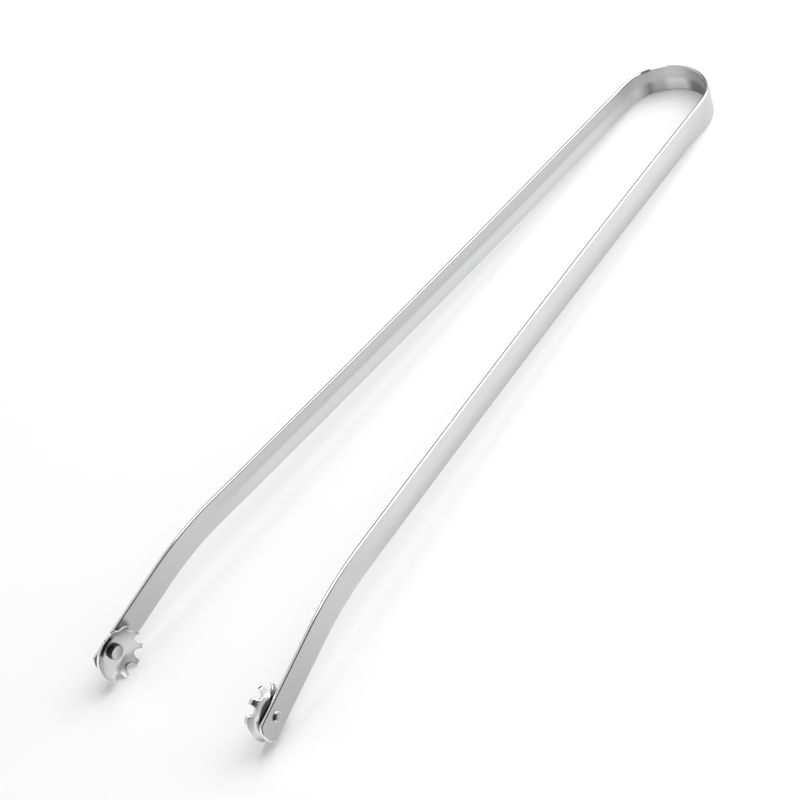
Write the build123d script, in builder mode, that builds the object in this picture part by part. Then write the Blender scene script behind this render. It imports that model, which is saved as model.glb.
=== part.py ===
from build123d import *
import os
from math import asin, atan2, cos, degrees, hypot, radians, sin, sqrt

# Spring tongs bent from one flat strip of stainless steel. The two arms leave a U-shaped bow,
# flare slightly apart and are cranked edgewise at the tips, where each carries a round scalloped
# dish on a rivet. Lengths are in millimetres and angles in degrees.

# Strip
strip_width = 15.0
strip_thickness = 1.8
strip_edge_chamfer = 0.3

# Bow, measured to the middle of the strip
bow_radius = 24.0

# Arms
arm_length = 325.0
bow_flare_angle = 2.4
crank_flare_angle = 4.4
arm_crown = 0.6
crown_fade = 40.0

# Cranked tips
crank_radius = 150.0
crank_angle = 16.15
crank_end_to_rivet = 39.4
rivet_above_middle = 0.7
rivet_to_arm_end = 11.1
arm_end_radius = 12.0
arm_corner_round = 2.0

# Rivets
shank_radius = 2.0
head_radius = 3.6
head_height = 2.3
head_edge_chamfer = 0.5
tail_radius = 2.8
tail_height = 0.7
tail_dimple_radius = 1.3
tail_dimple_depth = 0.3
shank_clearance_in_arm = 0.02
shank_clearance_in_dish = 0.05

# Dishes
dish_radius = 13.2
dish_sheet = 1.0
dish_seat_radius = 6.5
dish_bowl_radius = 19.2
dish_play = 0.1
front_lip_radius = 18.0
front_lip_reach = 12.3
notch_count = 7
notch_pitch_angle = 36.0
notch_radius = 2.6
tooth_round = 0.4
left_dish_angle = -24.5
right_dish_angle = -3.0

# One overrun for everything that cuts right through
overrun = 1.0

# The tongs are worked out with the strip's mid-height on Plane.XY, the bow's centre at the origin,
# the bow towards +Y and the tips towards -Y. Only the right arm, on the +X side, is drawn.
half_width = strip_width / 2
half_thickness = strip_thickness / 2
bow_end = Vector(bow_radius * cos(radians(bow_flare_angle)), bow_radius * sin(radians(bow_flare_angle)))
flare_turn = radians(crank_flare_angle - bow_flare_angle)
arm_radius = arm_length / flare_turn


def heading(flare):
    """Direction of the right arm, towards its tip, where it flares by this angle."""
    return Vector(sin(radians(flare)), -cos(radians(flare)), 0)


def outward(flare):
    """Direction square to the right arm's face, away from the other arm."""
    return Vector(cos(radians(flare)), sin(radians(flare)), 0)


def arm_point(run):
    """Middle of the right arm at this distance from the bow, and the flare there."""
    flare = bow_flare_angle + (crank_flare_angle - bow_flare_angle) * run / arm_length
    centre = bow_end + outward(bow_flare_angle) * arm_radius
    return centre - outward(flare) * arm_radius, flare


def section_plane(run):
    """Plane across the right arm, its x axis outward and its y axis up."""
    point, flare = arm_point(run)
    return Plane(origin=point, x_dir=outward(flare), z_dir=-heading(flare))


# Where the crank starts, and the vertical plane that holds the tip: x along the arm, y up
crank_start, tip_flare = arm_point(arm_length)
tip_plane = Plane(origin=crank_start, x_dir=heading(tip_flare), z_dir=-outward(tip_flare))
crank_rad = radians(crank_angle)
tip_along = Vector(cos(crank_rad), -sin(crank_rad))
tip_up = Vector(sin(crank_rad), cos(crank_rad))
crank_end = Vector(crank_radius * sin(crank_rad), -crank_radius * (1 - cos(crank_rad)))
rivet_spot = crank_end + tip_along * crank_end_to_rivet + tip_up * rivet_above_middle


def in_tip(spot):
    """Point of the tip's own plane, in the frame of the whole tongs."""
    return tip_plane.from_local_coords(Vector(spot.X, spot.Y, 0))


# Seats of the two dishes: on the arm's inner face at the rivet, x towards the tip, z inward
rivet_centre = in_tip(rivet_spot)
tip_heading = in_tip(rivet_spot + tip_along) - rivet_centre
seat_origin = rivet_centre - outward(tip_flare) * half_thickness
right_seat = Plane(origin=seat_origin, x_dir=tip_heading, z_dir=-outward(tip_flare))
left_seat = Plane(
    origin=Vector(-seat_origin.X, seat_origin.Y, seat_origin.Z),
    x_dir=Vector(-tip_heading.X, tip_heading.Y, tip_heading.Z),
    z_dir=Vector(outward(tip_flare).X, -outward(tip_flare).Y, 0),
)

# Dish profile: a flat seat under the rivet's head, then part of a ball up to the rim
dish_bowl_height = sqrt(dish_bowl_radius**2 - dish_seat_radius**2)
dish_rim_height = dish_bowl_height - sqrt((dish_bowl_radius - dish_sheet) ** 2 - dish_radius**2)
notch_span = notch_pitch_angle * (notch_count - 1)
first_notch = (360 - notch_span) / 2

# The tongs lie on the dishes' rims and on the bow's lower edge. The floor touches the circle of
# the rims and passes through the bow's lowest edge, so it slopes by this angle before laying down.
bow_reach = bow_radius + half_thickness
rim_run = bow_reach - rivet_centre.Y
rim_drop = -half_width - rivet_centre.Z
lie_angle = degrees(atan2(rim_drop, rim_run) + asin(dish_radius / hypot(rim_run, rim_drop)))
lie_sin, lie_cos = sin(radians(lie_angle)), cos(radians(lie_angle))
front_y = rivet_centre.Y * lie_cos + rivet_centre.Z * lie_sin - dish_radius
back_y = bow_reach * lie_cos + half_width * lie_sin
resting = Location(
    (0, -(front_y + back_y) / 2, bow_reach * lie_sin + half_width * lie_cos),
    (-lie_angle, 0, 0),
)


def strip_outline(plane, crown):
    """Cross-section of the strip, its outer face bowed out by the crown."""
    with BuildSketch(plane) as section:
        with BuildLine():
            if crown:
                ThreePointArc(
                    (half_thickness, -half_width),
                    (half_thickness + crown, 0),
                    (half_thickness, half_width),
                )
                ThreePointArc(
                    (-half_thickness, half_width),
                    (crown - half_thickness, 0),
                    (-half_thickness, -half_width),
                )
            else:
                Line((half_thickness, -half_width), (half_thickness, half_width))
                Line((-half_thickness, half_width), (-half_thickness, -half_width))
            Line((half_thickness, half_width), (-half_thickness, half_width))
            Line((-half_thickness, -half_width), (half_thickness, -half_width))
        make_face()
        chamfer(section.vertices(), strip_edge_chamfer)
    return section.sketch


# Bow: the strip's flat section turned about the centre of the bend
with BuildPart() as bow:
    add(strip_outline(section_plane(0), 0))
    revolve(axis=Axis.Z, revolution_arc=180 - 2 * bow_flare_angle)

# Straight tip of the right arm: the flat section cut to a rounded outline
tip_length = crank_end_to_rivet + rivet_to_arm_end
tip_base = in_tip(crank_end)
with BuildPart() as tip:
    add(strip_outline(Plane(origin=tip_base, x_dir=outward(tip_flare), z_dir=tip_heading), 0))
    extrude(dir=tip_heading, amount=tip_length)
    with BuildSketch(Plane(origin=tip_base, x_dir=tip_heading, z_dir=-outward(tip_flare))) as tip_outline:
        with BuildLine():
            side_length = tip_length - arm_end_radius + sqrt(arm_end_radius**2 - half_width**2)
            upper_end = Vector(side_length, half_width)
            lower_end = Vector(side_length, -half_width)
            Polyline(lower_end, (0, -half_width), (0, half_width), upper_end)
            ThreePointArc(upper_end, (tip_length, 0), lower_end)
        make_face()
        fillet(tip_outline.vertices().sort_by(Axis(tip_base, tip_heading))[-2:], arm_corner_round)
    extrude(amount=half_thickness, both=True, mode=Mode.INTERSECT)

# Right arm: flat at both ends and crowned between them, then bent edgewise into the tip
with BuildPart() as right_arm:
    with BuildLine() as arm_line:
        crowned_runs = (crown_fade, arm_length / 2, arm_length - crown_fade)
        ThreePointArc(*(arm_point(run)[0] for run in crowned_runs))
    add(strip_outline(section_plane(crown_fade), arm_crown))
    sweep(path=arm_line.line)

    add(strip_outline(section_plane(0), 0))
    add(strip_outline(section_plane(crown_fade), arm_crown))
    loft(ruled=True)

    add(strip_outline(section_plane(arm_length - crown_fade), arm_crown))
    add(strip_outline(section_plane(arm_length), 0))
    loft(ruled=True)

    add(strip_outline(section_plane(arm_length), 0))
    revolve(axis=Axis(in_tip(Vector(0, -crank_radius)), -outward(tip_flare)), revolution_arc=-crank_angle)
    add(tip.part)

    with Locations(right_seat):
        Hole(shank_radius + shank_clearance_in_arm, depth=strip_thickness + overrun)

# Left arm: the same strip on the other side
with BuildPart() as left_arm:
    mirror(right_arm.part, about=Plane.YZ)


def scalloped_dish(seat, turn):
    """Pressed dish, hollow side inward, with a plain front lip and notches along the rest."""
    facing = seat.x_dir.rotate(Axis((0, 0, 0), seat.z_dir), turn)
    base = Plane(origin=seat.offset(dish_play).origin, x_dir=facing, z_dir=seat.z_dir)
    # The ball's own axis lies across the dish
    ball_middle = Plane(origin=base.offset(dish_bowl_height).origin, x_dir=base.z_dir, z_dir=base.x_dir)
    with BuildPart() as hollow:
        with Locations(ball_middle):
            Sphere(dish_bowl_radius - dish_sheet)
        split(bisect_by=base.offset(dish_sheet), keep=Keep.TOP)
    with BuildPart() as dish:
        with Locations(ball_middle):
            Sphere(dish_bowl_radius)
        with BuildSketch(base) as rim_outline:
            Circle(dish_radius)
            with Locations((front_lip_reach - front_lip_radius, 0)):
                Circle(front_lip_radius, mode=Mode.INTERSECT)
            with PolarLocations(dish_radius, notch_count, first_notch, notch_span, endpoint=True):
                Circle(notch_radius, mode=Mode.SUBTRACT)
            fillet(rim_outline.vertices(), tooth_round)
        extrude(amount=dish_rim_height + overrun, mode=Mode.INTERSECT)
        add(hollow.part, mode=Mode.SUBTRACT)
        with Locations(base):
            Hole(shank_radius + shank_clearance_in_dish, depth=dish_sheet + overrun)
    return dish


right_dish = scalloped_dish(right_seat, right_dish_angle)
left_dish = scalloped_dish(left_seat, left_dish_angle)


def riveted_pin(seat):
    """Pan-headed rivet through a dish and its arm, its tail spread on the outer face."""
    across = Plane(origin=seat.origin, x_dir=seat.x_dir, z_dir=-seat.y_dir)
    under_head = dish_play + dish_sheet + dish_play
    head_top = under_head + head_height
    tail_face = -strip_thickness
    tail_top = tail_face - tail_height
    dimple_bottom = tail_top + tail_dimple_depth
    tail_lip = (tail_radius + tail_dimple_radius) / 2
    with BuildPart() as rivet:
        with BuildSketch(across):
            with BuildLine():
                Polyline(
                    (0, dimple_bottom),
                    (0, head_top),
                    (head_radius, head_top),
                    (head_radius, under_head),
                    (shank_radius, under_head),
                    (shank_radius, tail_face),
                    (tail_radius, tail_face),
                    (tail_lip, tail_top),
                    (tail_dimple_radius, tail_top),
                    close=True,
                )
            make_face()
        revolve(axis=Axis(seat.origin, seat.z_dir))
        head_rim = rivet.edges().filter_by(GeomType.CIRCLE).sort_by(Axis(seat.origin, seat.z_dir))[-1]
        chamfer(head_rim, head_edge_chamfer)
    return rivet


right_rivet = riveted_pin(right_seat)
left_rivet = riveted_pin(left_seat)

# Lay each finished piece down as the tongs lie on a table, and write it
os.makedirs("parts", exist_ok=True)
bow.part.locate(resting)
bow.part.label = "bow"
export_step(bow.part, "parts/bow.step")
left_arm.part.locate(resting)
left_arm.part.label = "left_arm"
export_step(left_arm.part, "parts/left_arm.step")
right_arm.part.locate(resting)
right_arm.part.label = "right_arm"
export_step(right_arm.part, "parts/right_arm.step")
left_dish.part.locate(resting)
left_dish.part.label = "left_dish"
export_step(left_dish.part, "parts/left_dish.step")
right_dish.part.locate(resting)
right_dish.part.label = "right_dish"
export_step(right_dish.part, "parts/right_dish.step")
left_rivet.part.locate(resting)
left_rivet.part.label = "left_rivet"
export_step(left_rivet.part, "parts/left_rivet.step")
right_rivet.part.locate(resting)
right_rivet.part.label = "right_rivet"
export_step(right_rivet.part, "parts/right_rivet.step")
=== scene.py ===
from math import acos, asin, atan2, cos, hypot, pi, radians, sin, sqrt

import bmesh
import bpy
from bpy.props import FloatProperty, FloatVectorProperty, IntProperty, PointerProperty
from bpy.types import Operator, Panel, PropertyGroup
from mathutils import Matrix, Vector


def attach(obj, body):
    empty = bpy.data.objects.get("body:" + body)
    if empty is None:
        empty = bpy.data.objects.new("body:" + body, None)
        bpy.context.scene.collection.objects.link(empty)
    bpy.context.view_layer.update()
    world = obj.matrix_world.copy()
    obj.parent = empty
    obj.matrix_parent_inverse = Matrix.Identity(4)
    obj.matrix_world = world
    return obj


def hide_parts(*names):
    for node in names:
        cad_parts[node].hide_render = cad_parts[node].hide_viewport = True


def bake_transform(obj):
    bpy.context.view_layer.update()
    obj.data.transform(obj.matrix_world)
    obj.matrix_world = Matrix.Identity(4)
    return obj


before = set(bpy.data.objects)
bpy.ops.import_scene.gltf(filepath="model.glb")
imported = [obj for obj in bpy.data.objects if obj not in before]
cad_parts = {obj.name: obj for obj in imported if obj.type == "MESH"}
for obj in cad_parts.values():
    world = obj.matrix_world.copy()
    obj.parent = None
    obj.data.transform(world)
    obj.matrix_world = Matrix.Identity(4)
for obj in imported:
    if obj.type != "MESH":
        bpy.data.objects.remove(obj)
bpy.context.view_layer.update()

bl_info = {
    "name": "Kitchen tongs",
    "version": (1, 0, 0),
    "blender": (4, 5, 0),
    "location": "3D View > Sidebar > Tongs",
    "description": "Long spring tongs bent from one strip, with a scalloped dish riveted to each tip",
    "category": "Add Mesh",
}

MM = 0.001

# Faces that meet at a sharper turn than this show an edge.
SHARP_TURN = radians(35)


def mm(*lengths):
    """Lengths given in millimetres, in metres."""
    return tuple(length * MM for length in lengths)


# How finely the meshes are divided: counts of faces, and the turn or length of one face.
CORNER_STEPS = 6
RIVET_CORNER_STEPS = 12
RIVET_SIDES = 72
END_CORNER_STEPS, END_STEPS = 8, 18
LIP_STEPS, TOOTH_STEPS, NOTCH_STEPS = 44, 6, 18
RIM_STEP, BOW_STEP, CRANK_STEP = radians(1.5), radians(1), radians(0.5)
FINE_STEP, COARSE_STEP, SEAM = mm(2, 5, 0.02)

# Where rows of faces lie, as shares of the stretch that they divide.
END_SHARES = (0, 0.25, 0.5, 0.75, 0.93, 1)
EDGE_FLAT_SHARE = 0.8
RIM_BLENDS = (0, 0.04, 0.2, 0.4, 0.6, 0.8)
FIRST_CIRCLE = 0.7
SEAT_SHARES = (0.8, 0.55)
RIM_WALL_SHARE = 1.3
HEAD_SHARES = (0.4, 0.7)
DIMPLE_SHARES = (0.8, 0.5, 0.25)

# Other rows and bevels of the meshes: how far in, and how far up or down.
BOWL_ROWS, SEAT_ROW = mm(0.4, 0.8), 0.3 * MM
HEAD_BEVEL, TAIL_BEVEL = mm(0.1, 0.2), mm(0.08, 0.05)

# The share of the way inwards from the rim on which a dish's mark goes from two sheets to one.
MARK_BLEND = 0.6

# How far round the bow, back from its end, a spot on the strip is worked out.
BEND_TURN = radians(45)

# The camera's sensor, in millimetres, and how far it sees, in metres.
SENSOR_WIDTH, FARTHEST_SEEN = 36, 100

# Dark flags in the sky, which show in the metal: the way to each one, the turns away from it at
# which it is full and gone, and how dark it is.
FLAGS = (
    ((0.88, 0.1, 0.46), radians(8), radians(14), 0.95),
    ((-0.8, 0.464, 0.36), radians(18), radians(24), 0.8),
)


def size(name, millimetres, description):
    """A length, given in millimetres and kept in metres."""
    return FloatProperty(
        name=name, description=description, default=millimetres * MM, unit="LENGTH", precision=5
    )


def angle(name, degrees, description):
    """An angle, given in degrees and kept in radians."""
    return FloatProperty(
        name=name, description=description, default=radians(degrees), subtype="ANGLE"
    )


def share(name, value, description):
    """A number between nothing and all."""
    return FloatProperty(
        name=name, description=description, default=value, min=0, max=1, subtype="FACTOR"
    )


def colour(name, value, description):
    """A plain colour, as linear red, green and blue."""
    return FloatVectorProperty(
        name=name, description=description, default=value, size=3, min=0, max=1, subtype="COLOR"
    )


def power(name, watts, description):
    """Power of a lamp."""
    return FloatProperty(name=name, description=description, default=watts, unit="POWER")


def standing(name, place, description):
    """A place on the stage, in metres."""
    return FloatVectorProperty(
        name=name, description=description, default=place, size=3, unit="LENGTH"
    )


class StripSizes(PropertyGroup):
    """Sizes of the bent strip"""

    width: size("Width", 15.0, "Width of the flat strip")
    thickness: size("Thickness", 1.8, "Thickness of the strip")
    edge_round: size("Edge round", 0.85, "Rounding of the strip's edges")
    bow_radius: size("Bow radius", 24.0, "Radius of the bow at the middle of the strip")
    arm_length: size("Arm length", 325.0, "Length of an arm between the bow and its crank")
    flare_at_bow: angle("Flare at the bow", 2.4, "How far an arm turns outward where it leaves the bow")
    flare_at_crank: angle("Flare at the crank", 4.4, "How far an arm turns outward at its crank")
    crown: size("Crown", 0.6, "How far the arm's faces bow outward")
    crown_fade: size("Crown fade", 40.0, "Length over which the crown fades in and out")
    crank_radius: size("Crank radius", 150.0, "Radius of the edgewise bend")
    crank_angle: angle("Crank angle", 16.15, "Turn of the edgewise bend")
    crank_to_rivet: size("Crank to rivet", 39.4, "From the end of the crank to the rivet")
    rivet_rise: size("Rivet rise", 0.7, "Height of the rivet above the strip's middle")
    rivet_to_end: size("Rivet to end", 11.1, "From the rivet to the end of the arm")
    end_radius: size("End radius", 12.0, "Radius of the arm's rounded end")
    corner_radius: size("Corner radius", 2.0, "Rounding of the end's two corners")


class DishSizes(PropertyGroup):
    """Sizes of the two scalloped dishes"""

    radius: size("Radius", 13.2, "Radius of the rim")
    sheet: size("Sheet", 1.0, "Thickness of the dish")
    seat_radius: size("Seat radius", 6.5, "Radius of the flat seat under the rivet")
    bowl_radius: size("Bowl radius", 19.2, "Radius of the ball that the back follows")
    seat_bend: size("Seat bend", 4.0, "Radius of the bend between seat and bowl")
    play: size("Play", 0.1, "Gap between the dish and what is on either side of it")
    bore_radius: size("Bore radius", 2.05, "Radius of the hole for the rivet")
    lip_radius: size("Lip radius", 18.0, "Radius of the flattened front lip")
    lip_reach: size("Lip reach", 12.3, "From the dish's middle to the front lip")
    notch_count: IntProperty(name="Notches", description="Number of notches", default=7, min=1)
    notch_pitch: angle("Notch pitch", 36.0, "Angle from notch to notch")
    notch_radius: size("Notch radius", 2.6, "Radius of each notch")
    tooth_round: size("Tooth round", 0.4, "Rounding of the corners beside each notch")
    rim_round: size("Rim round", 0.22, "Rounding of the rim's two edges")
    left_turn: angle("Left turn", -24.5, "How far the left dish has turned on its rivet")
    right_turn: angle("Right turn", -3.0, "How far the right dish has turned on its rivet")


class RivetSizes(PropertyGroup):
    """Sizes of the two rivets"""

    shank_radius: size("Shank radius", 2.0, "Radius of the shank")
    head_radius: size("Head radius", 3.6, "Radius of the head inside the dish")
    head_height: size("Head height", 2.3, "Height of the head")
    head_round: size("Head round", 0.65, "Rounding of the head's upper edge")
    tail_radius: size("Tail radius", 2.8, "Radius of the spread tail")
    tail_height: size("Tail height", 0.7, "Height of the spread tail")
    dimple_radius: size("Dimple radius", 1.3, "Radius of the dimple in the tail")
    dimple_depth: size("Dimple depth", 0.3, "Depth of the dimple in the tail")


class Finishes(PropertyGroup):
    """Colours and finishes"""

    strip_colour: colour("Strip", (0.72, 0.72, 0.725), "Colour of the brushed strip")
    strip_gloss: share("Strip roughness", 0.4, "Roughness of the brushed strip")
    # The strip's painted reflections and shade take this dark colour.
    strip_painted_shade: colour("Strip, dark", (0.03, 0.03, 0.03), "Colour of the strip's dark marks")
    # The strip's edges are painted: darker as painted shade along the arms, near white as a painted highlight
    # at the tips and the bow.
    edge_shade_colour: colour("Edge", (0.5, 0.5, 0.5), "Colour of the strip's edges along the arms")
    edge_highlight_colour: colour("Edge highlight", (0.96, 0.96, 0.96), "Colour of the strip's edges at the tips")
    dish_colour: colour("Dish", (0.78, 0.78, 0.785), "Colour of the polished dishes")
    dish_gloss: share("Dish roughness", 0.2, "Roughness of the polished dishes")
    # The dishes' painted shade, shadows and reflections take this dark colour.
    dish_painted_shade: colour("Dish, dark", (0.025, 0.025, 0.027), "Colour of the dishes' dark marks")
    # The dishes' rims are painted near white as a painted highlight.
    rim_highlight_colour: colour("Rim", (0.96, 0.96, 0.96), "Colour of the dishes' bare rims")
    rivet_colour: colour("Rivet", (0.64, 0.64, 0.645), "Colour of the rivets")
    rivet_gloss: share("Rivet roughness", 0.16, "Roughness of the rivets")
    # The rivets' painted shade and reflections take this dark colour.
    rivet_painted_shade: colour("Rivet, dark", (0.03, 0.03, 0.032), "Colour of the rivets' dark marks")
    floor_colour: colour("Floor", (0.96, 0.96, 0.96), "Colour of the floor")
    floor_gloss: share("Floor roughness", 0.9, "Roughness of the floor")


class StageSizes(PropertyGroup):
    """Camera, lights and floor"""

    camera_place: standing("Camera place", (0.719102, -0.606355, 0.835083), "Where the camera stands")
    camera_turn: FloatVectorProperty(
        name="Camera turn", description="How the camera is turned", size=3, subtype="EULER",
        default=(radians(46.04537), radians(17.23448), radians(35.73083)),
    )
    lens: FloatProperty(
        name="Lens", description="Focal length on a 36 mm wide sensor, in millimetres", default=118.095
    )
    floor_reach: size("Floor reach", 6000, "Half the width of the floor")
    sky_light: share("Sky light", 0.6, "Light from all round on the tongs and the floor")
    back_lamp_power: power("Back lamp", 36.0, "Power of the soft lamp behind the tongs")
    back_lamp_place: standing("Back lamp place", (0.24, 1.18, 2.03), "Where the back lamp hangs")
    back_lamp_width: size("Back lamp width", 2500, "Width of the back lamp")
    side_lamp_power: power("Side lamp", 16.0, "Power of the soft lamp beside the tongs")
    side_lamp_place: standing("Side lamp place", (1.3, 1.9, 1.0), "Where the side lamp hangs")
    side_lamp_width: size("Side lamp width", 2400, "Width of the side lamp")


# Which of a node's sockets is meant, counted from its first one.
MIX_SHARE, MIX_FIRST, MIX_SECOND, MIX_COLOUR = 0, 6, 7, 2
ATTRIBUTE_PLACE, VECTOR_NUMBER = 1, 1
SKY_WAY, OBJECT_PLACE = 0, 3
CAMERA_RAY, SINGULAR_RAY, TRANSMISSION_RAY = 0, 4, 6


class Value:
    """A number or colour that a node gives, so that sums of them are written as sums."""

    def __init__(self, graph, socket):
        self.graph = graph
        self.socket = socket

    def __add__(self, other):
        return self.graph.maths("ADD", self, other)

    __radd__ = __add__

    def __sub__(self, other):
        return self.graph.maths("SUBTRACT", self, other)

    def __rsub__(self, other):
        return self.graph.maths("SUBTRACT", other, self)

    def __mul__(self, other):
        return self.graph.maths("MULTIPLY", self, other)

    __rmul__ = __mul__

    def __abs__(self):
        return self.graph.maths("ABSOLUTE", self)


class Graph:
    """The nodes of one material or of the world."""

    def __init__(self, owner):
        owner.use_nodes = True
        self.tree = owner.node_tree
        self.tree.nodes.clear()

    def node(self, kind, settings=None, sockets=None):
        """A new node: its settings first, then the values or links of its sockets."""
        made = self.tree.nodes.new(kind)
        for name, value in (settings or {}).items():
            if name == "stops":
                set_stops(made.color_ramp, value)
            else:
                setattr(made, name, value)
        for name, value in (sockets or {}).items():
            if isinstance(value, Value):
                self.tree.links.new(value.socket, made.inputs[name])
            else:
                made.inputs[name].default_value = value
        return [Value(self, socket) for socket in made.outputs]

    def maths(self, operation, *terms):
        """Arithmetic on numbers."""
        return self.node("ShaderNodeMath", {"operation": operation}, dict(enumerate(terms)))[0]

    def vectors(self, operation, *terms):
        """Arithmetic on vectors: a vector, and a number."""
        return self.node("ShaderNodeVectorMath", {"operation": operation}, dict(enumerate(terms)))

    def noise(self, place, scale, detail):
        """A number that varies like clouds round NOISE_MEAN."""
        sockets = {"Vector": place, "Scale": scale, "Detail": detail}
        return self.node("ShaderNodeTexNoise", {}, sockets)[0]

    def ramp(self, value, stops):
        """A number that follows another one from stop to stop."""
        grey = [(place, (level, level, level, 1)) for place, level in stops]
        return self.node("ShaderNodeValToRGB", {"stops": grey}, {"Fac": value})[0]

    def shade(self, factor, dark, light, blend="MIX"):
        """A colour between two others, or their product where blend is MULTIPLY."""
        settings = {"data_type": "RGBA", "blend_type": blend, "clamp_factor": True}
        ends = [end if isinstance(end, Value) else (*end, 1) for end in (dark, light)]
        sockets = {MIX_SHARE: factor, MIX_FIRST: ends[0], MIX_SECOND: ends[1]}
        return self.node("ShaderNodeMix", settings, sockets)[MIX_COLOUR]

    def step(self, value, fade):
        """Rises smoothly from nothing at the fade's first number to all at its second."""
        return self.node("ShaderNodeMapRange", {"interpolation_type": "SMOOTHSTEP"}, {
            "Value": value, "From Min": fade[0], "From Max": fade[1], "To Min": 0.0, "To Max": 1.0,
        })[0]

    def between(self, value, rise, fall):
        """All from one fade to the next, and nothing before and after."""
        return self.step(value, rise) * (1 - self.step(value, fall))

    def grain(self):
        """Place on the piece, as a vector and as three numbers.

        On the strip they are the run from the bow's crest, less than nothing on the left half,
        the height above the strip's middle, and the depth outward from the middle of its sheet.
        On a dish they are the place on its seat and a mark, which is the sheet's thickness in the
        hollow and less than nothing on the back, twice that at the rim, and nothing on the rim's
        wall. On a rivet they are the place on the seat and the height above it.
        """
        place = self.node("ShaderNodeAttribute", {"attribute_name": "grain"})[ATTRIBUTE_PLACE]
        return place, self.node("ShaderNodeSeparateXYZ", {}, {0: place})

    def reach(self, place):
        """Distance from the piece's own axis."""
        flat = self.vectors("MULTIPLY", place, (1, 1, 0))[0]
        return self.vectors("LENGTH", flat)[VECTOR_NUMBER]

    def steel(self, base, roughness, height, bump):
        """Bare metal, with a bump of this strength and depth."""
        sockets = {"Height": height, "Strength": bump[0], "Distance": bump[1]}
        normal = self.node("ShaderNodeBump", {}, sockets)[0]
        return self.node("ShaderNodeBsdfPrincipled", {}, {
            "Base Color": base, "Metallic": 1.0, "Roughness": roughness, "Normal": normal,
        })[0]


def set_stops(ramp, stops):
    """Gives a colour ramp its stops."""
    while len(ramp.elements) > 1:
        ramp.elements.remove(ramp.elements[-1])
    for number, (place, level) in enumerate(stops):
        stop = ramp.elements[0] if number == 0 else ramp.elements.new(place)
        stop.position = place
        stop.color = level


def material_named(name, draw, look):
    """A new material, whose nodes the function draw lays out."""
    material = bpy.data.materials.new(name)
    graph = Graph(material)
    graph.node("ShaderNodeOutputMaterial", {}, {"Surface": draw(graph, look)})
    return material


class StripLine:
    """Middle line of the right half of the strip, from the bow's crest to the arm's end."""

    def __init__(self, strip, dish):
        self.strip = strip
        start, end = strip.flare_at_bow, strip.flare_at_crank
        self.bow_run = strip.bow_radius * (pi / 2 - start)
        self.bow_end = strip.bow_radius * self.outward(start)
        self.arm_radius = strip.arm_length / (end - start)
        self.crank_run = strip.crank_radius * strip.crank_angle
        self.tip_run = strip.crank_to_rivet + strip.rivet_to_end
        self.crank_start = self.arm_point(strip.arm_length)
        turn = strip.crank_angle
        self.tip_ahead = self.in_tip(cos(turn), -sin(turn)) - self.crank_start
        self.tip_up = self.in_tip(sin(turn), cos(turn)) - self.crank_start
        self.tip_base = self.in_tip(strip.crank_radius * sin(turn), -strip.crank_radius * (1 - cos(turn)))
        self.rivet = self.tip_base + self.tip_ahead * strip.crank_to_rivet + self.tip_up * strip.rivet_rise
        self.lay_down(dish)

    def outward(self, flare):
        """Square to the arm's face, away from the other arm."""
        return Vector((cos(flare), sin(flare), 0))

    def ahead(self, flare):
        """Along the arm, towards its tip."""
        return Vector((sin(flare), -cos(flare), 0))

    def in_tip(self, along, up):
        """Point in the upright plane of the cranked tip."""
        heading = self.ahead(self.strip.flare_at_crank)
        return self.crank_start + heading * along + Vector((0, 0, up))

    def flare(self, run):
        """Flare of the arm at this distance from the bow."""
        turn = self.strip.flare_at_crank - self.strip.flare_at_bow
        return self.strip.flare_at_bow + turn * run / self.strip.arm_length

    def arm_point(self, run):
        centre = self.bow_end + self.outward(self.strip.flare_at_bow) * self.arm_radius
        return centre - self.outward(self.flare(run)) * self.arm_radius

    def station(self, run):
        """Middle of the strip, the ways outward and up there, and the crown, at a run from the crest."""
        strip = self.strip
        upright = Vector((0, 0, 1))
        if run < self.bow_run:
            turn = pi / 2 - run / strip.bow_radius
            return strip.bow_radius * self.outward(turn), self.outward(turn), upright, 0
        run -= self.bow_run
        if run < strip.arm_length:
            near_end = min(run, strip.arm_length - run) / strip.crown_fade
            fade = min(near_end, 1)
            crown = strip.crown * fade * fade * (3 - 2 * fade)
            return self.arm_point(run), self.outward(self.flare(run)), upright, crown
        run -= strip.arm_length
        outward = self.outward(strip.flare_at_crank)
        if run < self.crank_run:
            turn = run / strip.crank_radius
            drop = strip.crank_radius * (1 - cos(turn))
            up = self.in_tip(sin(turn), cos(turn)) - self.crank_start
            return self.in_tip(strip.crank_radius * sin(turn), -drop), outward, up, 0
        run -= self.crank_run
        return self.tip_base + self.tip_ahead * run, outward, self.tip_up, 0

    def lay_down(self, dish):
        """Works out how the tongs lie on the dishes' rims and on the bow's lower edge."""
        reach = self.strip.bow_radius + self.strip.thickness / 2
        half_width = self.strip.width / 2
        run = reach - self.rivet.y
        drop = -half_width - self.rivet.z
        lie = atan2(drop, run) + asin(dish.radius / hypot(run, drop))
        front = self.rivet.y * cos(lie) + self.rivet.z * sin(lie) - dish.radius
        back = reach * cos(lie) + half_width * sin(lie)
        place = Vector((0, -(front + back) / 2, reach * sin(lie) + half_width * cos(lie)))
        self.resting = Matrix.Translation(place) @ Matrix.Rotation(-lie, 4, "X")

    def seat(self, side, turn):
        """Frame of a dish's seat: x towards the plain lip, z towards the other arm."""
        outward = self.outward(self.strip.flare_at_crank)
        mirror = Matrix.Diagonal((side, 1, 1))
        place = mirror @ (self.rivet - outward * self.strip.thickness / 2)
        inward = mirror @ -outward
        towards_tip = mirror @ self.tip_ahead
        facing = Matrix.Rotation(turn, 3, inward) @ towards_tip
        across = inward.cross(facing)
        frame_of_seat = Matrix((facing, across, inward)).transposed().to_4x4()
        frame_of_seat.translation = place
        return self.resting @ frame_of_seat


def spread(start, end, step):
    """Numbers from start up to but not including end, evenly, at most step apart."""
    count = max(1, round((end - start) / step))
    return [start + (end - start) * number / count for number in range(count)]


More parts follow.
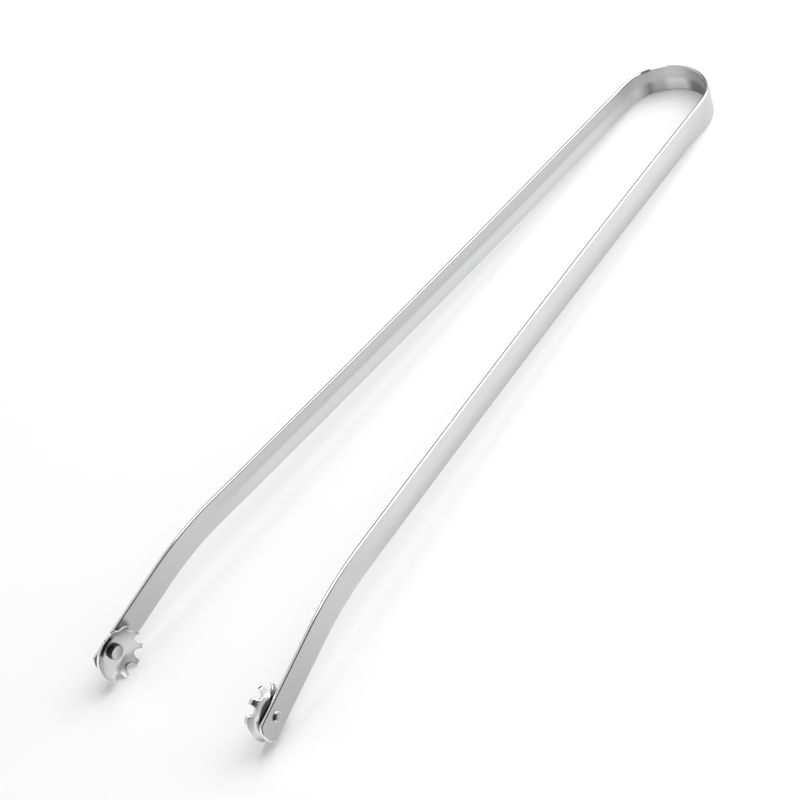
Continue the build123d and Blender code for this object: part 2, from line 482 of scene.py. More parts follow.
def solid(name, points, faces, grain, material):
    """A closed mesh, shaded smoothly wherever it turns gently, with its grain coordinates."""
    mesh = bpy.data.meshes.new(name)
    mesh.from_pydata(points, [], faces)
    work = bmesh.new()
    work.from_mesh(mesh)
    bmesh.ops.recalc_face_normals(work, faces=work.faces)
    work.to_mesh(mesh)
    work.free()
    mesh.shade_smooth()
    mesh.set_sharp_from_angle(angle=SHARP_TURN)
    attribute = mesh.attributes.new("grain", "FLOAT_VECTOR", "POINT")
    attribute.data.foreach_set("vector", [part for spot in grain for part in spot])
    mesh.materials.append(material)
    piece = bpy.data.objects.new(name, mesh)
    bpy.context.scene.collection.objects.link(piece)
    return piece


def end_curve(strip, tip_run):
    """Rounded end of the arm: for each spot its centre of curvature, radius and direction."""
    half_width = strip.width / 2
    inner = strip.end_radius - strip.corner_radius
    corner_up = half_width - strip.corner_radius
    corner_along = sqrt(inner**2 - corner_up**2)
    middle = tip_run - strip.end_radius
    meet = atan2(corner_up, corner_along)
    spots = []
    for number in range(END_CORNER_STEPS):
        turn = -pi / 2 + (pi / 2 - meet) * number / END_CORNER_STEPS
        spots.append((middle + corner_along, -corner_up, strip.corner_radius, turn))
    for number in range(END_STEPS + 1):
        turn = -meet + 2 * meet * number / END_STEPS
        spots.append((middle, 0, strip.end_radius, turn))
    for number in range(END_CORNER_STEPS):
        turn = meet + (pi / 2 - meet) * (number + 1) / END_CORNER_STEPS
        spots.append((middle + corner_along, corner_up, strip.corner_radius, turn))
    return spots


def strip_half(name, line, side, material):
    """One half of the strip, from the bow's crest to the tip, as one smooth closed piece."""
    strip = line.strip
    half_width, half = strip.width / 2, strip.thickness / 2
    curve = end_curve(strip, line.tip_run)
    arm_end = line.bow_run + strip.arm_length
    tip_start = arm_end + line.crank_run
    warp_start = line.tip_run - strip.end_radius

    def end_spot(spot, inset):
        along, up, radius, turn = spot
        reach = radius - inset
        return along + reach * cos(turn), up + reach * sin(turn)

    # Each column has its points at the heights of the end's curve, which the last columns reach.
    rows = [end_spot(spot, strip.edge_round)[1] for spot in curve]
    runs = [0, SEAM] + spread(SEAM, line.bow_run, strip.bow_radius * BOW_STEP)[1:]
    runs += spread(line.bow_run, line.bow_run + strip.crown_fade, FINE_STEP)
    runs += spread(runs[-1] + FINE_STEP, arm_end - strip.crown_fade, COARSE_STEP)
    runs += spread(runs[-1] + COARSE_STEP, arm_end, FINE_STEP)
    runs += spread(arm_end, tip_start, strip.crank_radius * CRANK_STEP)
    runs += spread(tip_start, tip_start + warp_start, FINE_STEP)

    points, grain = [], []

    def place(run, up, offset):
        middle, outward, upward, crown = line.station(run)
        bulge = crown * (1 - (up / half_width) ** 2)
        spot = middle + upward * up + outward * (offset + bulge)
        spot.x *= side
        points.append(line.resting @ spot)
        grain.append((run * side, up, offset))
        return len(points) - 1

    def face(offset):
        """Columns of points over one flat face, from the bow's crest to the rounded end."""
        columns = [[place(run, up, offset) for up in rows] for run in runs]
        for warp in END_SHARES:
            column = []
            for spot in curve:
                end, up = end_spot(spot, strip.edge_round)
                along = warp_start + (end - warp_start) * warp
                column.append(place(tip_start + along, up, offset))
            columns.append(column)
        return columns

    outer, inner = face(half), face(-half)

    faces = []
    for grid in (outer, inner):
        for left, right in zip(grid, grid[1:]):
            for row in range(len(rows) - 1):
                faces.append((left[row], left[row + 1], right[row + 1], right[row]))

    straight_end = end_spot(curve[0], 0)[0] - warp_start
    along_side = runs + [tip_start + warp_start + straight_end * warp for warp in END_SHARES]

    def border(grid):
        """The face's border: its lower side, its rounded end and its upper side."""
        return [column[0] for column in grid] + grid[-1][1:-1] + [column[-1] for column in reversed(grid)]

    def rim_row(inset, offset):
        """A row of points round the edge, this far in from its outline."""
        low = [place(run, inset - half_width, offset) for run in along_side]
        end = []
        for spot in curve[1:-1]:
            along, up = end_spot(spot, inset)
            end.append(place(tip_start + along, up, offset))
        high = [place(run, half_width - inset, offset) for run in reversed(along_side)]
        return low + end + high

    corner = strip.edge_round
    profile = []
    for step in range(1, CORNER_STEPS + 1):
        turn = pi / 2 * step / CORNER_STEPS
        profile.append((corner - corner * sin(turn), half - corner + corner * cos(turn)))
    flat = half - corner
    profile.append((0, flat * EDGE_FLAT_SHARE))
    profile += [(inset, -offset) for inset, offset in reversed(profile)]
    edge_rows = [rim_row(inset, offset) for inset, offset in profile]
    loops = [border(outer)] + edge_rows + [border(inner)]
    for upper, lower in zip(loops, loops[1:]):
        for number in range(len(upper) - 1):
            faces.append((upper[number], upper[number + 1], lower[number + 1], lower[number]))

    for row in range(len(rows) - 1):
        faces.append((outer[0][row], outer[0][row + 1], inner[0][row + 1], inner[0][row]))
    faces.append([loop[0] for loop in loops])
    faces.append([loop[-1] for loop in loops])
    return solid(name, points, faces, grain, material)


def dish_outline(dish):
    """Outline of a dish: for each spot its place, and the way out of the sheet there."""
    rim, notch, tooth = dish.radius, dish.notch_radius, dish.tooth_round
    inner = rim - tooth
    reach = notch + tooth
    lean = acos((inner**2 + rim**2 - reach**2) / (2 * inner * rim))
    span = dish.notch_pitch * (dish.notch_count - 1)
    first = pi - span / 2
    lip_middle = dish.lip_reach - dish.lip_radius
    lip_cross = (rim**2 + lip_middle**2 - dish.lip_radius**2) / (2 * lip_middle)
    lip_corner = acos(lip_cross / rim)
    spots = []

    def arc(centre, radius, start, end, count, outer=1):
        """Spots along an arc, from start up to but not including end."""
        for number in range(count):
            turn = start + (end - start) * number / count
            way = Vector((cos(turn), sin(turn)))
            spots.append((Vector(centre) + way * radius, way * outer))

    def rim_arc(start, end):
        arc((0, 0), rim, start, end, max(1, round((end - start) / RIM_STEP)))

    lip_lean = atan2(rim * sin(lip_corner), rim * cos(lip_corner) - lip_middle)
    arc((lip_middle, 0), dish.lip_radius, -lip_lean, lip_lean, LIP_STEPS)
    rim_arc(lip_corner, first - lean)
    for number in range(dish.notch_count):
        middle = first + dish.notch_pitch * number
        notch_centre = Vector((cos(middle), sin(middle))) * rim
        for end in (-1, 1):
            at_rim = middle + end * lean
            tooth_centre = Vector((cos(at_rim), sin(at_rim))) * inner
            to_notch = notch_centre - tooth_centre
            at_notch = atan2(to_notch.y, to_notch.x)
            sweep = (at_notch - at_rim + pi) % (2 * pi) - pi
            if end < 0:
                arc(tooth_centre, tooth, at_rim, at_rim + sweep, TOOTH_STEPS)
                start = atan2(-to_notch.y, -to_notch.x)
                half_sweep = (middle + pi - start + pi) % (2 * pi) - pi
                arc(notch_centre, notch, start, start + 2 * half_sweep, NOTCH_STEPS, outer=-1)
            else:
                arc(tooth_centre, tooth, at_rim + sweep, at_rim, TOOTH_STEPS)
        if number < dish.notch_count - 1:
            rim_arc(middle + lean, middle + dish.notch_pitch - lean)
    rim_arc(2 * pi - first + lean, 2 * pi - lip_corner)
    return spots


def dish_piece(name, line, dish, side, turn, material):
    """A pressed dish: a flat seat, a bend and part of a ball, with notches and a plain lip."""
    base = line.seat(side, turn) @ Matrix.Translation((0, 0, dish.play))
    ball_height = sqrt(dish.bowl_radius**2 - dish.seat_radius**2)
    bend_gap = dish.bowl_radius - dish.seat_bend
    bend_start = sqrt(bend_gap**2 - (ball_height - dish.seat_bend) ** 2)
    bend_turn = asin(bend_start / bend_gap)

    def height(reach, layer):
        """Height of the back, or of the hollow a sheet above it, at this distance from the axis."""
        bend, ball = dish.seat_bend - layer, dish.bowl_radius - layer
        if reach <= bend_start:
            return layer
        if reach <= ball * sin(bend_turn):
            return dish.seat_bend - sqrt(bend**2 - (reach - bend_start) ** 2)
        return ball_height - sqrt(ball**2 - reach**2)

    spots = dish_outline(dish)
    count = len(spots)
    edge = dish.rim_round
    points, grain, faces = [], [], []

    def place(flat, rise, mark=0):
        points.append(base @ Vector((flat.x, flat.y, rise)))
        grain.append((flat.x, flat.y, mark))
        return len(points) - 1

    def surface(layer, face):
        """Rings from the rim inwards."""
        inset = [spot - way * edge for spot, way in spots]
        even = FIRST_CIRCLE * dish.radius
        circle = []
        for spot in inset:
            turning = atan2(spot.y, spot.x)
            circle.append(Vector((cos(turning), sin(turning))))
        rings = []
        for blend in RIM_BLENDS:
            ring = [spot.lerp(way * even, blend) for spot, way in zip(inset, circle)]
            rings.append((ring, face * (2 - min(blend / MARK_BLEND, 1))))
        bend_end = dish.bowl_radius * sin(bend_turn)
        reaches = [even, (even + bend_end) / 2, bend_end]
        reaches += [bend_end - inwards for inwards in BOWL_ROWS]
        reaches += [bend_start + SEAT_ROW, bend_start]
        reaches += [part * bend_start for part in SEAT_SHARES]
        for reach in reaches + [dish.bore_radius]:
            rings.append(([way * reach for way in circle], face))
        return [[place(flat, height(flat.length, layer), mark) for flat in ring] for ring, mark in rings]

    hollow = surface(dish.sheet, dish.sheet)
    back = surface(0, -dish.sheet)
    rim_rows = []
    for layer, sign in ((dish.sheet, -1), (0, 1)):
        rows = []
        for step in range(1, CORNER_STEPS + 1):
            turning = pi / 2 * step / CORNER_STEPS
            inset, drop = edge - edge * sin(turning), edge - edge * cos(turning)
            flats = [spot - way * inset for spot, way in spots]
            rows.append([place(flat, height(flat.length, layer) + sign * drop) for flat in flats])
        wall_drop = sign * edge * RIM_WALL_SHARE
        rows.append([place(spot, height(spot.length, layer) + wall_drop) for spot, way in spots])
        rim_rows.append(rows)
    rings = list(reversed(hollow)) + rim_rows[0] + list(reversed(rim_rows[1])) + back
    rings.append(rings[0])
    for first, second in zip(rings, rings[1:]):
        for number in range(count):
            after = (number + 1) % count
            faces.append((first[number], first[after], second[after], second[number]))
    return solid(name, points, faces, grain, material)


def rivet_piece(name, line, dish, rivet, side, material):
    """A riveted pin: a pan head in the dish and a tail spread over the arm's outer face."""
    seat = line.seat(side, 0)
    under_head = dish.play + dish.sheet + dish.play
    head_top = under_head + rivet.head_height
    tail_face = -line.strip.thickness
    tail_lip = (rivet.tail_radius + rivet.dimple_radius) / 2
    tail_top = tail_face - rivet.tail_height
    profile = [(part * rivet.head_radius, head_top) for part in HEAD_SHARES]
    for step in range(RIVET_CORNER_STEPS + 1):
        turn = pi / 2 * step / RIVET_CORNER_STEPS
        profile.append((
            rivet.head_radius - rivet.head_round * (1 - sin(turn)),
            head_top - rivet.head_round * (1 - cos(turn)),
        ))
    bevel_in, bevel_up = HEAD_BEVEL
    spread_in, spread_down = TAIL_BEVEL
    profile += [
        (rivet.head_radius, under_head + bevel_up),
        (rivet.head_radius - bevel_in, under_head),
        (rivet.shank_radius, under_head),
        (rivet.shank_radius, tail_face),
        (rivet.tail_radius - spread_in, tail_face),
        (rivet.tail_radius, tail_face - spread_down),
    ]
    for step in range(1, RIVET_CORNER_STEPS + 1):
        turn = pi / 2 * step / RIVET_CORNER_STEPS
        profile.append((
            tail_lip + (rivet.tail_radius - tail_lip) * cos(turn),
            tail_face - spread_down - (rivet.tail_height - spread_down) * sin(turn),
        ))
    for part in DIMPLE_SHARES:
        depth = rivet.dimple_depth * (1 - part**2)
        profile.append((rivet.dimple_radius * part, tail_top + depth))
    points, grain, faces = [], [], []
    for reach, rise in profile:
        for number in range(RIVET_SIDES):
            turn = 2 * pi * number / RIVET_SIDES
            spot = Vector((reach * cos(turn), reach * sin(turn), rise))
            points.append(seat @ spot)
            grain.append(spot)
    for ring in range(len(profile) - 1):
        for number in range(RIVET_SIDES):
            after = (number + 1) % RIVET_SIDES
            low, high = ring * RIVET_SIDES, (ring + 1) * RIVET_SIDES
            faces.append((low + number, low + after, high + after, high + number))
    last = (len(profile) - 1) * RIVET_SIDES
    for first_of_ring, rise in ((0, head_top), (last, tail_top + rivet.dimple_depth)):
        points.append(seat @ Vector((0, 0, rise)))
        grain.append((0, 0, rise))
        middle = len(points) - 1
        for number in range(RIVET_SIDES):
            faces.append((first_of_ring + number, first_of_ring + (number + 1) % RIVET_SIDES, middle))
    return solid(name, points, faces, grain, material)


NOISE_MEAN = 0.5

# The strip's brushing. The scales are along it, up it and through its sheet.
STREAK_SCALE, STREAK_DETAIL = (30, 2600, 900), 4.0
BAND_SCALE, BAND_DETAIL = (14, 220, 200), 2.0
STRIP_TINTS = (0.93, 1.06)
STREAK_ROUGHNESS, BAND_ROUGHNESS, EDGE_POLISH = 0.12, 0.08, 0.75
STREAK_BUMP = (0.12, 0.04 * MM)

# Parts of the strip, each by the fade at its border: a run, a height or a depth.
FACE_WIDTH = 15 * MM
RIGHT_RUN = mm(-0.01, 0.01)
BOW_END_RUN = mm(20, 70)
ARM_START_RUN, ARM_END_RUN = mm(20, 80), mm(320, 375)
TIP_RUN, TIP_FACE_RUN = mm(340, 395), mm(375, 435)
FACE_DEPTH, OUTER_DEPTH = mm(0.8, 0.88), mm(-0.1, 0.1)
UPPER_SHARE = (0.42, 0.6)

# Painted shade on the strip's faces, from their lower to their upper edge, and how much darker the
# tips and the inside of the bow are painted.
PLAIN_TONE, TIP_SHADE, BOW_SHADE = 0.85, 0.15, 0.1
INSIDE_SHADES = (
    (0.0, 0.86), (0.1, 0.93), (0.3, 1.0), (0.46, 0.95), (0.53, 0.76), (0.6, 0.79), (0.9, 0.84),
)
OUTSIDE_SHADES = ((0.0, 0.74), (0.12, 0.76), (0.35, 0.84), (0.6, 0.97), (1.0, 1.0))
# How much of the painted edge highlight reaches the bow.
BOW_EDGE_HIGHLIGHT = 0.7

# Painted reflections in patches inside the bow's left half, from its crest over this run, and the plain right
# half.
REFLECTION_RUN = 60 * MM
REFLECTION_TONES = (
    (0.0, 0.72), (0.17, 0.72), (0.23, 0.45), (0.3, 0.42), (0.36, 0.2), (0.42, 0.45), (0.48, 0.66),
    (0.56, 0.6), (0.75, 0.5),
)
REFLECTION_MEAN, REFLECTION_STRENGTH = 0.5, 0.3
RIGHT_REFLECTION_TONE, RIGHT_REFLECTION_RUN = 0.2, mm(-2, 4)

# Painted dark reflections along the strip's upper edge, on the tips and on the arms, and how dark they are.
TIP_LINE_DEPTH, TIP_LINE_END, TIP_LINE_HEIGHT = mm(0.5, 0.62), mm(0.84, 0.89), mm(1, 5)
ARM_LINE_DEPTH, ARM_LINE_HEIGHT, ARM_LINE_RUN = mm(-0.05, 0.2), mm(6, 6.3), mm(20, 60)
TIP_LINE_DARK, ARM_LINE_DARK = 0.9, 0.95

# A painted dark reflection on the bow's upper edge, and painted shade beside each dish.
SPOT_RUN, SPOT_END, SPOT_HEIGHT, SPOT_DARK = mm(-26, -23), mm(-20, -17), mm(0, 1), 0.9
DISH_SHADE_START, DISH_SHADE_END = mm(428, 431), mm(438, 442)
DISH_SHADE_HEIGHT, DISH_SHADE_DARK = mm(-1, 3), 0.65

# The dishes' polish.
CLOUD_SCALE, CLOUD_DETAIL = 320.0, 3.0
WAVE_SCALE, WAVE_DETAIL = 140.0, 1.0
DISH_TINTS = (0.97, 1.02)
CLOUD_ROUGHNESS, RIM_POLISH = 0.05, 0.1
WAVE_BUMP = (0.25, 0.3 * MM)

# Parts of a dish, each by the fade at its border: a mark, a reach from the axis, or a place
# across the seat.
HOLLOW_MARK, BACK_MARK = mm(0.3, 0.9), mm(-0.3, -0.9)
BAND_MARK, BAND_END_MARK = mm(1.3, 1.85), mm(1.94, 1.99)
HEAD_REACH, SEAT_REACH, BOWL_REACH = mm(3.75, 4.1), mm(8.3, 9.3), mm(10.2, 11.2)
HOLLOW_ACROSS, BACK_ACROSS = mm(-12.5, 3), mm(2, 9)

# How dark a dish's painted shade is: everywhere, and by how much more on its darker side.
HOLLOW_DARK, HOLLOW_DARKER = 0.14, 0.45
BAND_DARK, BAND_DARKER = 0.3, 0.6
BOWL_DARK, BOWL_DARKER = 0.1, 0.35
HEAD_SHADOW_DARK, SEAT_DARK = 0.85, 0.96

# The rivets' tool marks.
TOOL_SCALE, TOOL_DETAIL = 900.0, 4.0
RIVET_TINTS = (0.92, 1.08)
TOOL_ROUGHNESS = 0.12
TOOL_BUMP = (0.2, 0.1 * MM)

# Parts of a rivet, each by the fade at its border, and how dark their painted shade is.
INSIDE_RISE = mm(-1, -0.8)
HEAD_WALL_REACH, HEAD_WALL_DARK = mm(3.2, 3.5), 0.95
HEAD_SLOPE, HEAD_DARK, HEAD_DARKER = mm(-2.5, 3), 0.12, 0.35
TAIL_SPOT_START, TAIL_SPOT_WIDTH, TAIL_SPOT_SHIFT = mm(0.5, 1.1), mm(1.5, 2.3), 0.7 * MM
TAIL_RIM_REACH, TAIL_SPOT_DARK, TAIL_DARK = mm(1.9, 2.1), 0.98, 0.35

FLOOR_CLOUD_SCALE, FLOOR_CLOUD_DETAIL = 3.0, 2.0
FLOOR_TINTS = (0.995, 1.0)


def tints(base, factors):
    """The colour at each of these strengths, never brighter than white."""
    return [[min(factor * part, 1) for part in base] for factor in factors]


def brushed(graph, look):
    """Satin steel strip, brushed lengthwise, with painted highlights and shade on its edges and painted shade
    and reflections on its faces.
    """
    place, (sided_run, up, depth) = graph.grain()
    run, height = abs(sided_run), up * (1 / FACE_WIDTH) + 0.5
    sided_depth = depth * (graph.step(sided_run, RIGHT_RUN) * 2 - 1)
    edge = 1 - graph.step(abs(depth), FACE_DEPTH)
    outer = graph.step(depth, OUTER_DEPTH)
    tip = graph.step(run, TIP_RUN)
    bow = 1 - graph.step(run, BOW_END_RUN)
    inside_bow = bow * (1 - outer)

    streaks = graph.noise(graph.vectors("MULTIPLY", place, STREAK_SCALE)[0], 1.0, STREAK_DETAIL)
    bands = graph.noise(graph.vectors("MULTIPLY", place, BAND_SCALE)[0], 1.0, BAND_DETAIL)
    brushed_base = graph.shade((streaks + bands) * 0.5, *tints(look.strip_colour, STRIP_TINTS))

    # Painted shade: the faces lighter or darker from their lower to their upper edge, and darker on the tips
    # and inside the bow.
    inside, outside = graph.ramp(height, INSIDE_SHADES), graph.ramp(height, OUTSIDE_SHADES)
    face_painted_shade = inside + (outside - inside) * outer
    # Painted reflections: light and dark patches inside the bow.
    painted_reflections = graph.ramp(run * (1 / REFLECTION_RUN), REFLECTION_TONES)
    painted_reflections = painted_reflections + (RIGHT_REFLECTION_TONE - painted_reflections) * graph.step(sided_run, RIGHT_REFLECTION_RUN)
    low_half = 1 - graph.step(height, UPPER_SHARE)
    tone = PLAIN_TONE - graph.step(run, TIP_FACE_RUN) * TIP_SHADE - inside_bow * BOW_SHADE
    tone = tone + (face_painted_shade - PLAIN_TONE) * graph.between(run, ARM_START_RUN, ARM_END_RUN)
    tone = tone + inside_bow * (painted_reflections - REFLECTION_MEAN) * (REFLECTION_STRENGTH + low_half)
    toned = graph.shade(1.0, brushed_base, tone, "MULTIPLY")
    # Painted highlight on the edges at the tips and the bow, painted shade on the edges along the arms.
    painted_edge = graph.shade(tip + bow * BOW_EDGE_HIGHLIGHT, look.edge_shade_colour, look.edge_highlight_colour)
    base = graph.shade(edge, toned, painted_edge)

    # Painted dark reflections along the upper edge, on the tips and on the arms.
    tip_line = graph.between(sided_depth, TIP_LINE_DEPTH, TIP_LINE_END)
    tip_line = tip_line * graph.step(up, TIP_LINE_HEIGHT) * tip
    arm_line = edge * graph.step(up, ARM_LINE_HEIGHT) * (1 - graph.step(sided_depth, ARM_LINE_DEPTH))
    arm_line = arm_line * graph.step(run, ARM_LINE_RUN) * (1 - tip)
    # A painted dark reflection on the bow's upper edge.
    spot = edge * graph.between(sided_run, SPOT_RUN, SPOT_END) * graph.step(up, SPOT_HEIGHT)
    # Painted shade on each arm's inner face beside its dish.
    dish_shade = graph.between(run, DISH_SHADE_START, DISH_SHADE_END) * graph.step(up, DISH_SHADE_HEIGHT)
    dish_shade = dish_shade * (1 - outer) * (1 - edge)
    # All the strip's painted reflections and shade, mixed towards its dark colour.
    lines_dark = tip_line * TIP_LINE_DARK + arm_line * ARM_LINE_DARK
    dark = lines_dark + spot * SPOT_DARK + dish_shade * DISH_SHADE_DARK
    base = graph.shade(dark, base, look.strip_painted_shade)

    uneven = (streaks - NOISE_MEAN) * STREAK_ROUGHNESS + (bands - NOISE_MEAN) * BAND_ROUGHNESS
    roughness = (look.strip_gloss + uneven) * (1 - edge * EDGE_POLISH)
    return graph.steel(base, roughness, streaks, STREAK_BUMP)


def polished(graph, look):
    """Bright dish, polished over faint press marks, with a painted highlight on its rims and painted shade,
    shadow and reflections on its hollow and back.
    """
    place, (_, across, mark) = graph.grain()
    reach = graph.reach(place)
    hollow, behind = graph.step(mark, HOLLOW_MARK), graph.step(mark, BACK_MARK)
    wall = (1 - hollow) * (1 - behind)
    clouds = graph.noise(place, CLOUD_SCALE, CLOUD_DETAIL)
    waves = graph.noise(place, WAVE_SCALE, WAVE_DETAIL)
    bright = graph.shade(clouds, *tints(look.dish_colour, DISH_TINTS))
    # Painted highlight: the rim's wall takes the near white rim colour.
    bright = graph.shade(wall, bright, look.rim_highlight_colour)

    # Painted reflection: a dark band inside the rim, following its outline.
    band = graph.between(mark, BAND_MARK, BAND_END_MARK)
    # Painted shadow in a ring round the rivet's head.
    under_head = 1 - graph.step(reach, HEAD_REACH)
    # Painted shade: the hollow darker all over, and more so towards one side.
    aside = 1 - graph.step(across, HOLLOW_ACROSS)
    band_dark = band * (BAND_DARK + aside * BAND_DARKER)
    bare_dark = (1 - band) * (1 - under_head) * (HOLLOW_DARK + aside * HOLLOW_DARKER)
    hollow_dark = band_dark + bare_dark + under_head * HEAD_SHADOW_DARK
    # Painted shade on the back: on the seat, and on the bowl past the bend, darker towards one side.
    seat_dark = (1 - graph.step(reach, SEAT_REACH)) * SEAT_DARK
    bowl_dark = BOWL_DARK + graph.step(across, BACK_ACROSS) * BOWL_DARKER
    back_dark = seat_dark + graph.step(reach, BOWL_REACH) * bowl_dark
    # The painted shade of the hollow and of the back, mixed towards the dish's dark colour.
    base = graph.shade(hollow * hollow_dark + behind * back_dark, bright, look.dish_painted_shade)

    roughness = look.dish_gloss + (clouds - NOISE_MEAN) * CLOUD_ROUGHNESS - wall * RIM_POLISH
    return graph.steel(base, roughness, waves, WAVE_BUMP)


def riveted(graph, look):
    """Rivet steel with the fine marks of the setting tool, and painted shade and reflections on its head and
    tail.
    """
    place, (along, across, rise) = graph.grain()
    reach = graph.reach(place)
    marks = graph.noise(place, TOOL_SCALE, TOOL_DETAIL)
    bright = graph.shade(marks, *tints(look.rivet_colour, RIVET_TINTS))

    inside = graph.step(rise, INSIDE_RISE)
    # Painted shade on the head's side wall.
    wall = graph.step(reach, HEAD_WALL_REACH) * inside
    # Painted shade on the head's face, darker towards one side.
    head_dark = (1 - wall) * inside * (HEAD_DARK + graph.step(across - along, HEAD_SLOPE) * HEAD_DARKER)
    # A painted dark reflection on one side of the tail.
    spot = graph.step(along + across, TAIL_SPOT_START)
    spot = spot * (1 - graph.step(abs(along - across + TAIL_SPOT_SHIFT), TAIL_SPOT_WIDTH))
    # Painted shade over the tail's middle, round its dimple.
    tail_face = (1 - spot) * (1 - graph.step(reach, TAIL_RIM_REACH))
    tail_dark = (1 - inside) * (spot * TAIL_SPOT_DARK + tail_face * TAIL_DARK)
    # The rivet's painted shade and reflections, mixed towards its dark colour.
    base = graph.shade(wall * HEAD_WALL_DARK + head_dark + tail_dark, bright, look.rivet_painted_shade)

    roughness = look.rivet_gloss + (marks - NOISE_MEAN) * TOOL_ROUGHNESS
    return graph.steel(base, roughness, marks, TOOL_BUMP)


def pale_floor(graph, look):
    """Plain matt floor, with a faint unevenness."""
    place = graph.node("ShaderNodeTexCoord")[OBJECT_PLACE]
    cloud = graph.noise(place, FLOOR_CLOUD_SCALE, FLOOR_CLOUD_DETAIL)
    base = graph.shade(cloud, *tints(look.floor_colour, FLOOR_TINTS))
    return graph.node("ShaderNodeBsdfPrincipled", {}, {
        "Base Color": base, "Roughness": look.floor_gloss, "Specular IOR Level": 0.0,
    })[0]


class TONGS_OT_strip(Operator):
    """Builds the two halves of the bent strip"""

    bl_idname = "tongs.strip"
    bl_label = "Bent strip"

    def execute(self, context):
        scene = context.scene
        strip = scene.tongs_strip
        line = StripLine(strip, scene.tongs_dish)
        steel = material_named("brushed_strip_steel", brushed, scene.tongs_finish)
        for name, side in (("left", -1), ("right", 1)):
            piece = strip_half(name + "_strip", line, side, steel)
            before = line.station(line.bow_run - strip.bow_radius * BEND_TURN)[0]
            after = line.station(line.bow_run + strip.crown_fade)[0]
            for spot in (before, after):
                spot.x *= side
            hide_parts("bow", name + "_arm")
            line.resting @ before
            line.resting @ after
            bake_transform(piece)
        return {"FINISHED"}


class TONGS_OT_dishes(Operator):
    """Builds the two scalloped dishes"""

    bl_idname = "tongs.dishes"
    bl_label = "Scalloped dishes"

    def execute(self, context):
        scene = context.scene
        dish = scene.tongs_dish
        line = StripLine(scene.tongs_strip, dish)
        steel = material_named("polished_dish_steel", polished, scene.tongs_finish)
        for name, side, turn in (("left", -1, dish.left_turn), ("right", 1, dish.right_turn)):
            piece = dish_piece(name + "_scalloped_dish", line, dish, side, turn, steel)
            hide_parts(name + "_dish")
            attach(piece, name + "_dish")
        return {"FINISHED"}


class TONGS_OT_rivets(Operator):
    """Builds the two rivets"""

    bl_idname = "tongs.rivets"
    bl_label = "Rivets"

    def execute(self, context):
        scene = context.scene
        line = StripLine(scene.tongs_strip, scene.tongs_dish)
        steel = material_named("rivet_steel", riveted, scene.tongs_finish)
        for name, side in (("left", -1), ("right", 1)):
            piece = rivet_piece(name + "_riveted_pin", line, scene.tongs_dish, scene.tongs_rivet, side, steel)
            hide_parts(name + "_rivet")
            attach(piece, name + "_arm")
        return {"FINISHED"}


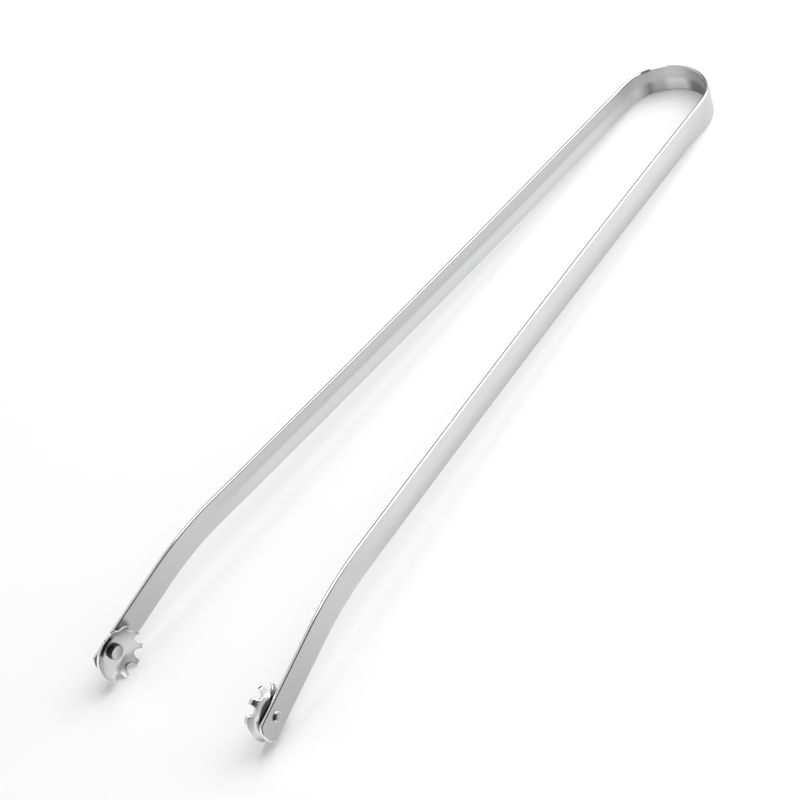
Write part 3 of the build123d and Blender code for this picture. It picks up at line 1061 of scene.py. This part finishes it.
class TONGS_OT_stage(Operator):
    """Sets up the floor, the light and the camera"""

    bl_idname = "tongs.stage"
    bl_label = "Floor, light and camera"

    def execute(self, context):
        scene = context.scene
        stage = scene.tongs_stage
        self.add_floor(scene, stage)
        self.light_world(scene, stage)
        for name in ("back_lamp", "side_lamp"):
            self.add_lamp(scene, stage, name)
        self.add_camera(scene, stage)
        scene.view_settings.view_transform = "Standard"
        return {"FINISHED"}

    def add_floor(self, scene, stage):
        reach = stage.floor_reach
        corners = [(-reach, -reach, 0), (reach, -reach, 0), (reach, reach, 0), (-reach, reach, 0)]
        mesh = bpy.data.meshes.new("floor")
        mesh.from_pydata(corners, [], [(0, 1, 2, 3)])
        mesh.materials.append(material_named("pale_floor", pale_floor, scene.tongs_finish))
        floor = bpy.data.objects.new("floor", mesh)
        scene.collection.objects.link(floor)

    def light_world(self, scene, stage):
        """Sky that is full for the camera and weaker for the tongs and the floor, and its flags."""
        world = bpy.data.worlds.new("studio")
        scene.world = world
        graph = Graph(world)
        rays = graph.node("ShaderNodeLightPath")
        camera = rays[CAMERA_RAY]
        seen = graph.maths("MAXIMUM", camera, rays[SINGULAR_RAY])
        seen = graph.maths("MAXIMUM", seen, rays[TRANSMISSION_RAY])
        strength = stage.sky_light + seen * (1 - stage.sky_light)
        way = graph.node("ShaderNodeTexCoord")[SKY_WAY]
        for towards, full, gone, depth in FLAGS:
            facing = graph.vectors("DOT_PRODUCT", way, Vector(towards).normalized())[VECTOR_NUMBER]
            flag = graph.step(facing, (cos(gone), cos(full))) * depth
            strength = strength * (1 - flag * (1 - camera))
        sky = graph.node("ShaderNodeBackground", {}, {"Color": (1, 1, 1, 1), "Strength": strength})[0]
        graph.node("ShaderNodeOutputWorld", {}, {"Surface": sky})

    def add_lamp(self, scene, stage, name):
        """A round soft lamp that faces the tongs."""
        lamp = bpy.data.lights.new(name, "AREA")
        lamp.shape = "DISK"
        lamp.size = getattr(stage, name + "_width")
        lamp.energy = getattr(stage, name + "_power")
        holder = bpy.data.objects.new(name, lamp)
        holder.location = getattr(stage, name + "_place")
        holder.rotation_euler = (-holder.location).to_track_quat("-Z", "Y").to_euler()
        scene.collection.objects.link(holder)

    def add_camera(self, scene, stage):
        camera = bpy.data.cameras.new("camera")
        camera.lens = stage.lens
        camera.sensor_width = SENSOR_WIDTH
        camera.clip_end = FARTHEST_SEEN
        holder = bpy.data.objects.new("camera", camera)
        holder.location = stage.camera_place
        holder.rotation_euler = stage.camera_turn
        scene.collection.objects.link(holder)
        scene.camera = holder


class TONGS_PT_panel(Panel):
    """The tongs' sizes, finishes and builders"""

    bl_label = "Kitchen tongs"
    bl_idname = "TONGS_PT_panel"
    bl_space_type = "VIEW_3D"
    bl_region_type = "UI"
    bl_category = "Tongs"

    def draw(self, context):
        for builder in BUILDERS:
            self.layout.operator(builder.bl_idname)
        for name in GROUPS:
            box = self.layout.box()
            group = getattr(context.scene, name)
            for size_name in group.bl_rna.properties.keys():
                if size_name not in {"rna_type", "name"}:
                    box.prop(group, size_name)


BUILDERS = (TONGS_OT_strip, TONGS_OT_dishes, TONGS_OT_rivets, TONGS_OT_stage)
GROUPS = {
    "tongs_strip": StripSizes,
    "tongs_dish": DishSizes,
    "tongs_rivet": RivetSizes,
    "tongs_finish": Finishes,
    "tongs_stage": StageSizes,
}


def register():
    for name, group in GROUPS.items():
        bpy.utils.register_class(group)
        setattr(bpy.types.Scene, name, PointerProperty(type=group))
    for kind in BUILDERS + (TONGS_PT_panel,):
        bpy.utils.register_class(kind)


def unregister():
    for kind in reversed(BUILDERS + (TONGS_PT_panel,)):
        bpy.utils.unregister_class(kind)
    for name, group in GROUPS.items():
        delattr(bpy.types.Scene, name)
        bpy.utils.unregister_class(group)


def main():
    register()
    bpy.ops.tongs.strip()
    bpy.ops.tongs.dishes()
    bpy.ops.tongs.rivets()
    bpy.ops.tongs.stage()


if __name__ == "__main__":
    main()
